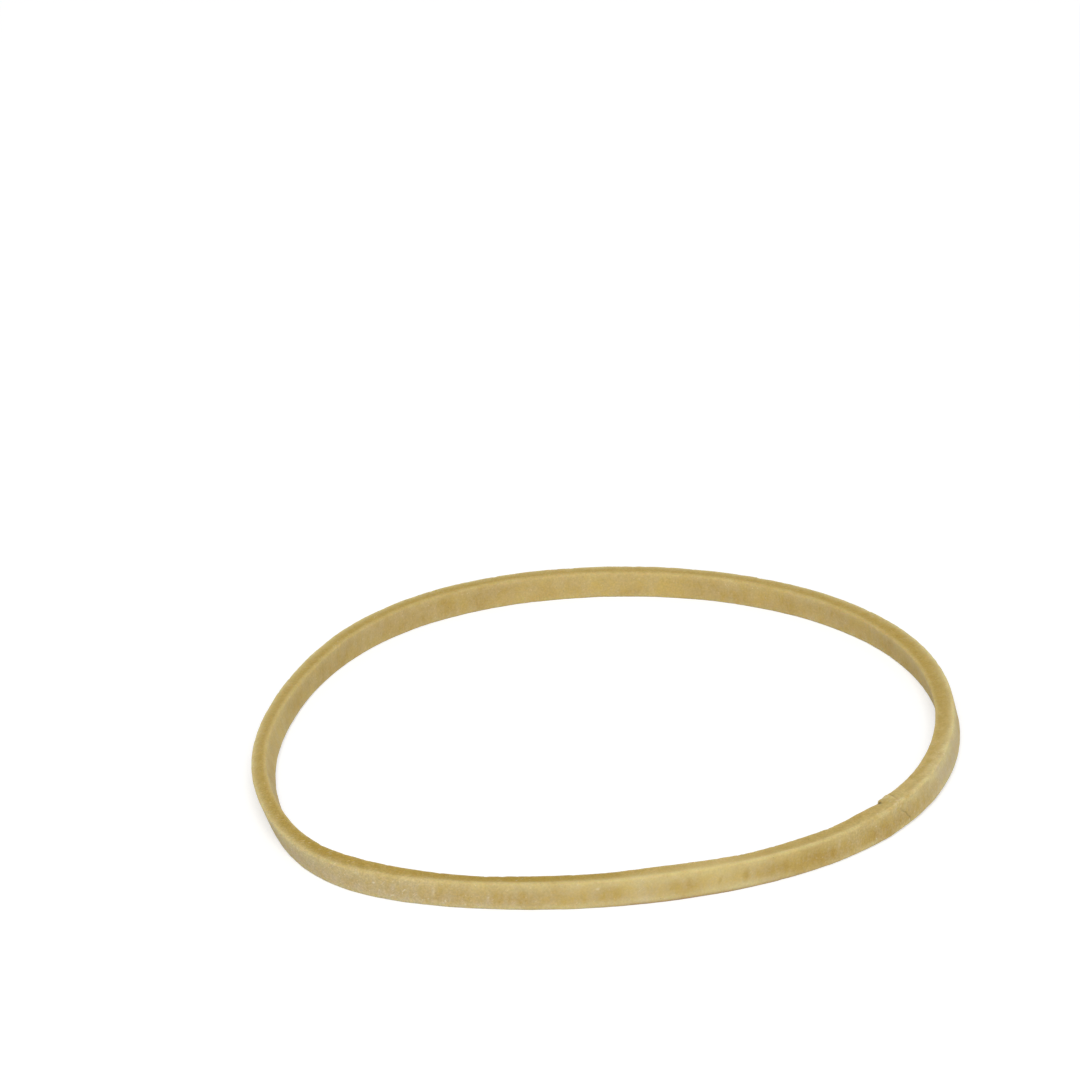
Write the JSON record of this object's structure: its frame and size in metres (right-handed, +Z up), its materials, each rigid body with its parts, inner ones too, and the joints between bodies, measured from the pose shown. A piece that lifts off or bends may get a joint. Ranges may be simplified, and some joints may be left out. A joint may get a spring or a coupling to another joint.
{
  "type": "rubber band",
  "caption": "Endless flat strip of soft tan latex rubber, cut as a ring from a thin tube and lying slack on its cut edge; it stretches round a bundle to hold it together.",
  "frame": {"origin": "on the surface the band rests on, under the middle of the whole ring", "axes": "+Z up, square to the plane of the ring; -Y towards the side with the tighter bend on its left and the old fold on its right"},
  "size_m": [0.04, 0.0412, 0.0018],
  "materials": {
    "latex": "matt natural tan latex with a dusting of powder, golden on the cut faces"
  },
  "bodies": {
    "root": {"band": "latex"}
  },
  "joints": []
}
